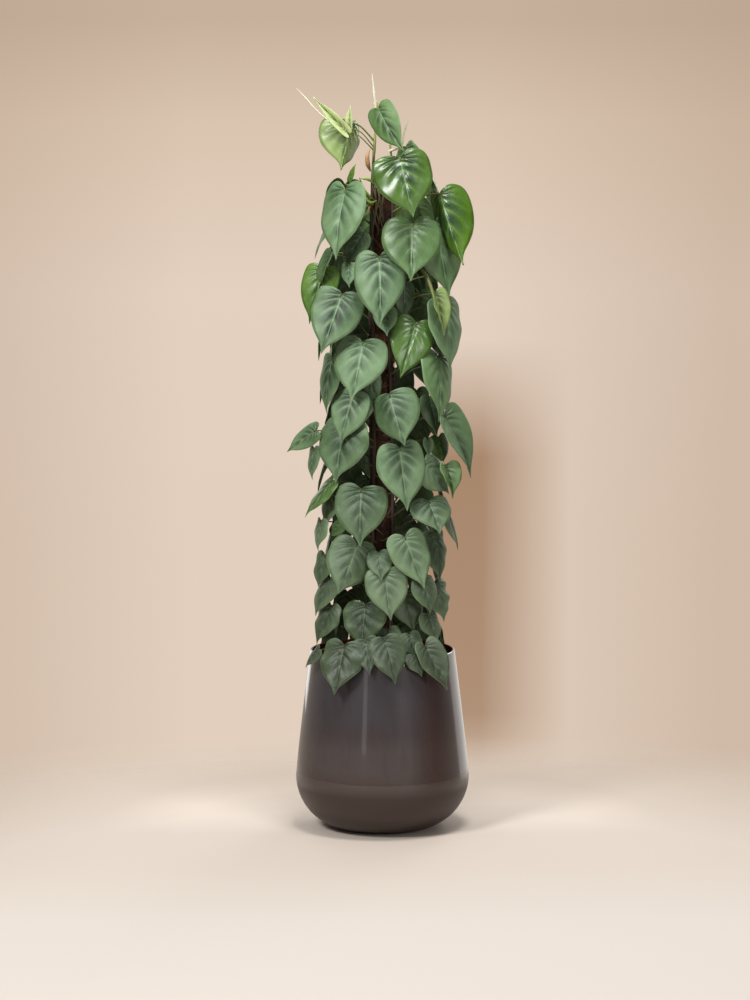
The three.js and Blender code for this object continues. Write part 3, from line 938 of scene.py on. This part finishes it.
def leafLook():
    look = Look("leafUpperSide", IOR=1.45, Coat_Roughness=0.2)
    away, across = betweenVeins(look)
    flat = look.node("UVMap", {"uv_map": "blade"})
    side, share, _ = look.split(flat)
    fresh, luck, gloss, shade = look.attribute("leafTone")
    place = look.objectPlace()
    clouds = look.noise(place, 16, 4, 0.55)
    mottle = look.noise(place, 110, 3)
    crumple = look.noise(place, 55, 4, 0.6)
    near = clamp(1.15 - across * (1.9 + clouds * 1.2))
    lateral = clamp(1 - away / 0.08) * near
    patchy = clamp((look.noise(place, 9, 2) - 0.5) * 5 + 0.75)
    reach = clamp(1.6 - across * (3.1 - patchy * 1.2))
    # painted shade in the troughs between the side veins near the midrib
    troughShade = clamp(away * 4 - 0.2) * clamp(across * 8) * reach * (patchy * 0.7 + 0.3)
    middle = band(side, 0, 0.03) * clamp(share * 30) * clamp(1.2 - share * 1.1)
    outer = clamp(across * 1.6 - 0.75) * clamp(1 - fresh * 2)
    margin = clamp((across - 0.965) * 34)
    cellPlace = look.node("Mapping", {}, {"Vector": flat, "Scale": (9, 21, 1)})
    inputs = {"Vector": cellPlace, "Scale": 1.6}
    cells = look.node("TexVoronoi", {"feature": "DISTANCE_TO_EDGE"}, inputs)
    net = clamp(1 - cells * 14)
    height = look.split(place)[2]
    low = clamp((0.95 - height) * 1.9)
    clear = clamp(height * 1.1 - 0.1)

    vary = clamp((clouds - 0.5) * 2 + luck * 0.5 + 0.2)
    old = mix(vary, tint(62, 90, 56), tint(124, 152, 116))
    # a greyer, darker colour towards the bottom of the plant
    greyerLow = mix(vary, tint(46, 58, 42), tint(100, 114, 90))
    bright = mix(clouds, tint(48, 88, 0), tint(90, 126, 12))
    newest = mix(clouds, tint(168, 186, 112), tint(208, 216, 162))
    thinVein = clamp(1 - away / 0.04) * clamp(1.05 - across)
    look.paint(layered(old, [
        (low, greyerLow),
        (clamp(fresh * 1.5), bright),
        (clamp(fresh * 4 - 3), newest),
        # painted shade and painted light by each leaf's shade value
        (clamp(0.5 - shade) * 1.7, tint(20, 36, 18)),
        (clamp(shade - 0.5) * 0.9, tint(150, 182, 140)),
        (clamp((mottle - 0.5) * 1.6) * 0.3, tint(40, 62, 36)),
        (outer * 0.3, tint(124, 158, 104)),
        # painted shade in the troughs
        (troughShade * clear * 0.95, tint(26, 50, 28)),
        # painted shade on the leaves low down around the pot's rim
        (clamp((0.46 - height) * 7) * 0.75, tint(40, 44, 30)),
        # painted shade in the dents of the crumpled relief and painted light on its crests
        (clamp((0.5 - crumple) * 4) * 0.3, tint(30, 56, 30)),
        (clamp((crumple - 0.54) * 4) * 0.2, tint(150, 178, 140)),
        (net * 0.12, tint(130, 158, 110)),
        (thinVein * 0.16, tint(150, 176, 140)),
        (lateral * clear * 0.3, tint(140, 172, 132)),
        (middle * clear * 0.55, tint(150, 174, 146)),
        (margin * 0.3, tint(158, 178, 134)),
    ]))
    look.feed("Roughness", 0.6 - gloss * 0.36 + (mottle - 0.5) * 0.14)
    look.feed("Coat Weight", clamp(gloss * 1.4 - 0.55) * 0.5)
    relief = mottle * 0.3 + crumple * 0.8 - lateral * 0.4 - middle * 0.5 - net * 0.1
    look.bump(relief, 0.5, 0.0008)
    return look


def leafUnderLook():
    look = Look("leafUnderside", Roughness=0.6)
    lateral = clamp(1 - betweenVeins(look)[0] / 0.09)
    fresh = look.attribute("leafTone")[0]
    body = mix(clamp(fresh), tint(78, 102, 68), tint(128, 158, 70))
    look.paint(mix(lateral * 0.2, body, tint(130, 150, 100)))
    look.bump(lateral, 0.4, 0.0008)
    return look


def stalkLook():
    look = Look("greenStalks", Roughness=0.5)
    height = look.split(look.objectPlace())[2]
    streak = look.noise(look.objectPlace((1, 1, 0.2)), 260, 3)
    patches = clamp((look.noise(look.objectPlace(), 24, 2) - 0.5) * 6)
    old = mix(streak, tint(52, 56, 30), tint(88, 96, 52))
    new = mix(streak, tint(84, 92, 40), tint(132, 144, 70))
    body = mix(clamp((height - 0.75) * 1.6), old, new)
    look.paint(mix(patches * 0.7, body, tint(62, 44, 28)))
    look.bump(streak, 0.25, 0.0006)
    return look


def stemLook():
    look = Look("woodyStems", Roughness=0.65)
    height = look.split(look.objectPlace())[2]
    streak = look.noise(look.objectPlace((1, 1, 0.15)), 300, 4)
    old = mix(streak, tint(38, 29, 20), tint(82, 68, 48))
    new = mix(streak, tint(120, 130, 66), tint(172, 176, 104))
    look.paint(mix(clamp((height - 1.28) * 9), old, new))
    look.bump(streak, 0.5, 0.001)
    return look


def plainLook(name, roughness, scale, dark, light):
    look = Look(name, Roughness=roughness)
    streak = look.noise(look.objectPlace((1, 1, 0.15)), scale, 3)
    look.paint(mix(streak, tint(*dark), tint(*light)))
    look.bump(streak, 0.35, 0.0006)
    return look


def petioleRoot(vine, leaf):
    highest = vine["top"] - petiole["rootBelowTop"]
    z = min(max(leaf["notch"].z - petiole["rise"], petiole["lowest"]), highest)
    return stemPoint(vine, z)


def petioleRoute(vine, leaf):
    root = petioleRoot(vine, leaf)
    end = leaf["notch"] - leaf["face"] * (blade["thickness"] / 2 + petiole["below"])
    middle = root.lerp(end, petiole["archPlace"]) + Vector((0, 0, petiole["lift"]))
    sunk = end + leaf["along"] * petiole["sunk"] - leaf["face"] * petiole["dip"]
    route = smoothRoute([root, middle, end, sunk], petiole["steps"])
    size = petiole["radius"] * lerp(0.7, 1.1, min(leaf["width"] / 110, 1))

    def radiusAt(share):
        swell = 1 + petiole["swell"] * math.exp(-(share / petiole["swellEnd"]) ** 2)
        return size * swell * lerp(1, 0.75, share)
    made = thickened(route, radiusAt)
    # the midrib runs on under the blade
    under = -blade["thickness"] - 0.6 - blade["groove"] * leaf["width"]
    for share in petiole["midrib"]:
        taper = lerp(0.6, 0.1, share / petiole["midrib"][-1])
        made.append((bladePoint(leaf, share, 0, under) * mm, size * taper * mm))
    return made


def stemRoute(vine):
    leafRoots = [petioleRoot(vine, leaf).z for leaf in vine["placed"]]
    count = round((vine["top"] - stem["bottom"]) / stem["step"])
    route = []
    for share in shares(count):
        z = lerp(stem["bottom"], vine["top"], share)
        nodes = [math.exp(-((z - root) / stem["nodeLength"]) ** 2) for root in leafRoots]
        swell = min(sum(stem["nodeSwell"] * node for node in nodes), stem["mostSwell"])
        taper = 1 - stem["taper"] * smoothstep(z, vine["top"] - stem["taperLength"], vine["top"])
        route.append((stemPoint(vine, z) * mm, stem["radius"] * (taper + swell) * mm))
    return route


def shootRoute(points, radius, tip):
    spots = [Vector(point) for point in points]
    heading = (spots[-1] - spots[-2]).normalized()
    spots += [spots[-1] + heading * tip * 0.5, spots[-1] + heading * tip]
    return thickened(smoothRoute(spots, 6), lambda share: radius * 1.5 * (1 - share ** 1.6 * 0.8))


roots = {
    "perVine": 60,
    "radius": 0.9,
    "sizes": (0.6, 1.4),
    "hug": 25.2,
    "lowest": 360,
    "highest": 1270,
    "turn": (15, 75),
    "fall": (-6, 46),
    "steps": 8,
    "seed": 21,
}


def rootRoutes(vine, draws):
    routes = []
    for _ in range(roots["perVine"]):
        z = draws.uniform(roots["lowest"], min(vine["top"], roots["highest"]) - 30)
        start = stemPoint(vine, z)
        turn = draws.choice([-1, 1]) * draws.uniform(*roots["turn"])
        fall = draws.uniform(*roots["fall"])
        size = roots["radius"] * draws.uniform(*roots["sizes"])
        angle = math.degrees(math.atan2(start.x, -start.y))
        points = []
        for share in shares(roots["steps"]):
            radius = lerp(stem["climbRadius"], roots["hug"], min(share * 3, 1))
            radius += 0.5 * math.sin(share * 9 + z)
            height = z - fall * share + 2.5 * math.sin(share * 7 + z) * share
            points.append(placeAt(angle + turn * share, radius, height))
        routes.append(thickened(points, lambda share: size * lerp(1, 0.45, share)))
    return routes


# small parts of the plant beside the leaves: points in millimetres and the radius at each
extraStems = [
    ([(34, -24, 1128), (66, -62, 1132), (84, -88, 1114), (96, -100, 1086), (104, -106, 1056)],
     [2.4, 3.0, 3.4, 3.4, 2.2]),
    ([(-27, -22, 1262), (-38, -40, 1284), (-46, -50, 1304)], [1.5, 2.6, 0.5]),
]
drySheaths = [
    ([(-24, -24, 1316), (-29, -34, 1330), (-30, -38, 1346), (-25, -36, 1360)], [1.5, 5.0, 4.2, 0.5]),
    ([(-18, -24, 1252), (-26, -34, 1246), (-30, -38, 1230)], [1.2, 2.6, 0.5]),
]
youngScales = [
    ([(-20, -26, 1262), (-32, -38, 1272), (-42, -46, 1292)], [1.0, 4.5, 0.5]),
    ([(-12, -27, 1258), (-24, -36, 1254), (-34, -42, 1262)], [1.0, 3.6, 0.5]),
    ([(-16, -26, 1290), (-28, -34, 1300), (-46, -42, 1302)], [1.0, 3.4, 0.5]),
]
# thin stems and roots that cross in front of the pole's top: angles and heights of both ends
strands = {
    "ends": [(-52, -20, 1296, 1196), (-44, -8, 1288, 1214), (-30, -34, 1300, 1180),
             (-22, 4, 1282, 1200), (-12, -26, 1294, 1210), (0, -14, 1276, 1190),
             (10, -4, 1290, 1216), (-36, 8, 1262, 1222)],
    "reach": (29, 32),
    "wiggle": 5,
    "radii": (1.7, 1.0),
    "steps": 8,
}


def strandRoute(start, end, high, low):
    points = []
    for share in shares(strands["steps"]):
        angle = lerp(start, end, share) + strands["wiggle"] * math.sin(share * 6 + high)
        points.append(placeAt(angle, lerp(*strands["reach"], share), lerp(high, low, share)))
    return thickened(points, lambda share: lerp(*strands["radii"], share))


def extraRoute(points, radii):
    def radiusAt(share):
        place = share * (len(radii) - 1)
        index = min(int(place), len(radii) - 2)
        return lerp(radii[index], radii[index + 1], place - index)
    return thickened(smoothRoute([Vector(point) for point in points], 6), radiusAt)


def leafTone(vine, index, leaf, draws):
    # freshness, luck, gloss and shade; the shade paints shade on low leaves, a little light on the
    # loose ones, and varies at random
    height = leaf["notch"].z
    fresh = tones["freshest"] * smoothstep(height, *tones["freshHeights"])
    fresh = max(fresh + draws.uniform(*tones["freshSpread"]), 0)
    shade = 0.5 + draws.uniform(*tones["shadeSpread"]) * (1 + leaf["loose"] * 1.4)
    shade += leaf["loose"] * 0.05 - tones["lowPaintedShade"] * smoothstep(height, *tones["lowHeights"])
    gloss = min(0.25 + fresh * 0.8 + draws.uniform(*tones["glossSpread"]), 1)
    fresh, shade, gloss = leafTones.get(vine["name"], {}).get(index, (fresh, shade, gloss))
    return (fresh, draws.uniform(0, 1), gloss, shade)


def makePlant():
    draws = random.Random(blade["seed"])
    template = makeLeafTemplate()
    upper, under, stalks, woody = leafLook(), leafUnderLook(), stalkLook(), stemLook()
    rolled = plainLook("rolledNewLeaf", 0.45, 300, (214, 212, 176), (238, 234, 208))
    airy = plainLook("airRoots", 0.85, 200, (70, 52, 38), (150, 132, 106))
    olive = plainLook("oliveStems", 0.5, 240, (88, 90, 42), (126, 128, 66))
    tangle = plainLook("thinStems", 0.7, 200, (46, 38, 24), (112, 104, 68))
    fresh = plainLook("youngScales", 0.45, 240, (104, 140, 40), (160, 186, 80))
    dry = plainLook("drySheaths", 0.7, 240, (150, 110, 72), (196, 160, 116))
    for vine in vines:
        vine["placed"] = vineLeaves(vine)
    for vine in vines:
        bm = bmesh.new()
        for index, leaf in enumerate(vine["placed"]):
            addLeaf(bm, template, leaf, leafTone(vine, index, leaf, draws), draws)
        short = vine["name"].replace("vine_", "")
        foliage = "foliage", [vine["name"]]
        leaves = addPiece("leaves_" + short, bm, [upper, under], *foliage)
        skin = leaves.modifiers.new("thickness", "SOLIDIFY")
        skin.thickness = blade["skin"] * mm
        skin.offset = -1
        skin.material_offset = 1
        stalkRoutes = [petioleRoute(vine, leaf) for leaf in vine["placed"]]
        tubes("leaf_stalks_" + short, stalkRoutes, 2, [stalks], *foliage)
        tubes("stem_" + short, [stemRoute(vine)], 4, [woody], *foliage)
        airRoots = rootRoutes(vine, random.Random(roots["seed"] + vine["angle"]))
        tubes("air_roots_" + short, airRoots, 1, [airy], *foliage)
        if "shoots" in vine:
            shootRoutes = [shootRoute(*shoot) for shoot in vine["shoots"]]
            tubes("new_shoots_" + short, shootRoutes, 2, [rolled], *foliage)
        print("leaves of", vine["name"], "done:", len(vine["placed"]))
    tubes("olive_stems", [extraRoute(*extra) for extra in extraStems], 2, [olive], "foliage")
    tubes("young_scales", [extraRoute(*extra) for extra in youngScales], 2, [fresh], "foliage")
    tubes("top_strands", [strandRoute(*ends) for ends in strands["ends"]], 1, [tangle], "foliage")
    tubes("dry_sheaths", [extraRoute(*extra) for extra in drySheaths], 2, [dry], "foliage")
    bpy.data.meshes.remove(template)


# Stage, light and camera

stage = {
    "floorCentre": (0, -0.75, 0),
    "floorRadius": 1.75,
    "floorSolid": 0.9,
    "floorColour": tint(200, 188, 176),
    # painted light on the floor: paler around the pot, paler still behind it where its shadow falls,
    # and paler towards the front
    "floorPaintedLight": tint(206, 194, 182),
    "floorNearLight": tint(226, 213, 200),
    "floorFrontLight": tint(206, 197, 188),
    "paintedLightReach": 1.0,
    "paintedLightFade": 0.7,
    "nearLightReach": 0.58,
    "nearLightFade": 0.17,
    # the backdrop's colour by height, with painted shade darker towards the top
    "wall": [(0.0, tint(226, 207, 189)), (0.3, tint(228, 209, 192)),
             (0.51, tint(217, 196, 175)), (0.63, tint(199, 177, 156))],
    # painted shade towards the backdrop's sides
    "wallEdgeShade": tint(180, 156, 134),
    "wallShadow": tint(164, 130, 102),
    "edgeMiddle": -0.012,
    "edgeStart": 0.045,
    "edgeFade": 0.075,
    "shadowSides": (-0.004, 0.060),
    "shadowDepths": (0.064, 0.213),
    "roomWindow": tint(122, 120, 128),
    "roomDark": tint(76, 58, 52),
    "roomLow": tint(150, 132, 122),
    "roomBehind": tint(196, 182, 168),
    "roomAbove": tint(214, 210, 204),
    "roomStrength": 0.6,
}


def makeFloor():
    bm = bmesh.new()
    bmesh.ops.create_circle(bm, cap_ends=True, radius=stage["floorRadius"], segments=96)
    bmesh.ops.translate(bm, verts=bm.verts, vec=Vector(stage["floorCentre"]) - Vector((0, 0, 0.0005)))
    floor = linked("floor", meshFrom("floor", bm))
    look = Look("floorWithPaintedLight", Roughness=0.7)
    place = look.objectPlace(shift=[-part for part in stage["floorCentre"]])
    away = look.node("VectorMath", {"operation": "LENGTH"}, {0: place}, 1)
    span = stage["floorRadius"] - stage["floorSolid"]
    look.feed("Alpha", clamp((stage["floorRadius"] - away) / span))
    around = look.node("VectorMath", {"operation": "LENGTH"}, {0: look.objectPlace()}, 1)
    north = look.split(look.objectPlace())[1]
    near = clamp((stage["nearLightReach"] - around) / stage["nearLightFade"])
    # painted light: paler around the pot, paler still behind it, and paler towards the front
    look.paint(layered(stage["floorColour"], [
        (clamp((stage["paintedLightReach"] - around) / stage["paintedLightFade"]), stage["floorPaintedLight"]),
        (clamp((0 - north - 0.3) * 2), stage["floorFrontLight"]),
        (near * clamp(north * 3.5 + 0.3), stage["floorNearLight"]),
    ]))
    floor.data.materials.append(look.material)


def makeRoom():
    # the camera sees a backdrop with painted shade towards the top and sides and a painted shadow of
    # the plant, and the glaze and leaves see a dimmer room
    world = bpy.data.worlds.new("room")
    scene.world = world
    world.use_nodes = True
    graph = Graph(world.node_tree)
    east, north, up = graph.split(graph.node("TexCoord", output=0))
    wall = graph.ramp(0.5 + up * 4, stage["wall"])
    slope, depth = east / north, 0 - up
    sideways = graph.maths("ABSOLUTE", slope - stage["edgeMiddle"])
    # painted shade towards the sides
    edges = clamp((sideways - stage["edgeStart"]) / stage["edgeFade"])
    (left, right), (high, low) = stage["shadowSides"], stage["shadowDepths"]
    shadow = clamp((right - slope) / 0.027) * clamp((slope - left) / 0.02)
    shadow = shadow * clamp((depth - high) / 0.036) * clamp((low - depth) / 0.036)
    wall = layered(wall, [
        (edges * 0.45, stage["wallEdgeShade"]),
        (shadow * clamp(north * 9 - 8), stage["wallShadow"]),
    ])
    around = graph.maths("ARCTAN2", east, 0 - north)
    seen = layered(stage["roomDark"], [
        (clamp((around + 1.6) * 14) * clamp((0.73 - around) * 18), stage["roomWindow"]),
        (clamp((0.115 - up) * 40), stage["roomLow"]),
        (clamp(north * 1.4 - 0.1), stage["roomBehind"]),
        (clamp(up * 1.6 - 0.5), stage["roomAbove"]),
    ])
    room = graph.node("Background", {}, {"Color": seen, "Strength": stage["roomStrength"]})
    backdrop = graph.node("Background", {}, {"Color": wall, "Strength": 1.0})
    direct = graph.node("LightPath", output=0)
    both = graph.node("MixShader", {}, {0: direct, 1: room, 2: backdrop})
    graph.tree.links.new(both.socket, graph.tree.nodes["World Output"].inputs["Surface"])


lights = [
    # name, place, aimed at, width, height, watts
    ("frontKey", (-2.2, -2.8, 3.3), (0, 0, 0.9), 1.0, 1.0, 138),
    ("frontFill", (2.4, -3.9, 1.8), (0, 0, 0.8), 1.4, 1.4, 44),
    ("rightPanel", (0.66, 0.92, 0.55), (0, 0, 0.3), 1.15, 1.4, 2.6),
    ("leftPanel", (-0.55, 1.05, 0.66), (0, 0, 0.3), 0.5, 1.2, 2),
    ("thinStrip", (-1.3, -2.8, 0.8), (0, 0, 0.4), 0.32, 1.1, 0.8),
    ("top", (0.3, -1.0, 3.3), (0, 0, 1.0), 0.8, 0.8, 54),
    ("backFill", (1.6, 3.2, 2.2), (0, 0, 0.9), 1.4, 1.4, 24),
]

view = {
    "place": (-0.015, -6.5, 1.40),
    "target": (-0.015, 0, 0.661),
    "lens": 117.7,
}


def aimed(name, data, place, target):
    thing = linked(name, data)
    thing.location = place
    thing.rotation_euler = (Vector(target) - Vector(place)).to_track_quat("-Z", "Y").to_euler()
    return thing


def makeLights():
    for name, place, target, width, height, power in lights:
        data = bpy.data.lights.new(name, "AREA")
        data.shape = "RECTANGLE"
        data.size, data.size_y = width, height
        data.energy = power
        aimed(name, data, place, target).visible_camera = False


def makeCamera():
    data = bpy.data.cameras.new("camera")
    data.lens = view["lens"]
    scene.camera = aimed("camera", data, view["place"], view["target"])
    scene.view_settings.view_transform = "Standard"


makePot()
makeSoil()
makeCoir()
makePlant()
makeFloor()
makeRoom()
makeLights()
makeCamera()

print("scene done")
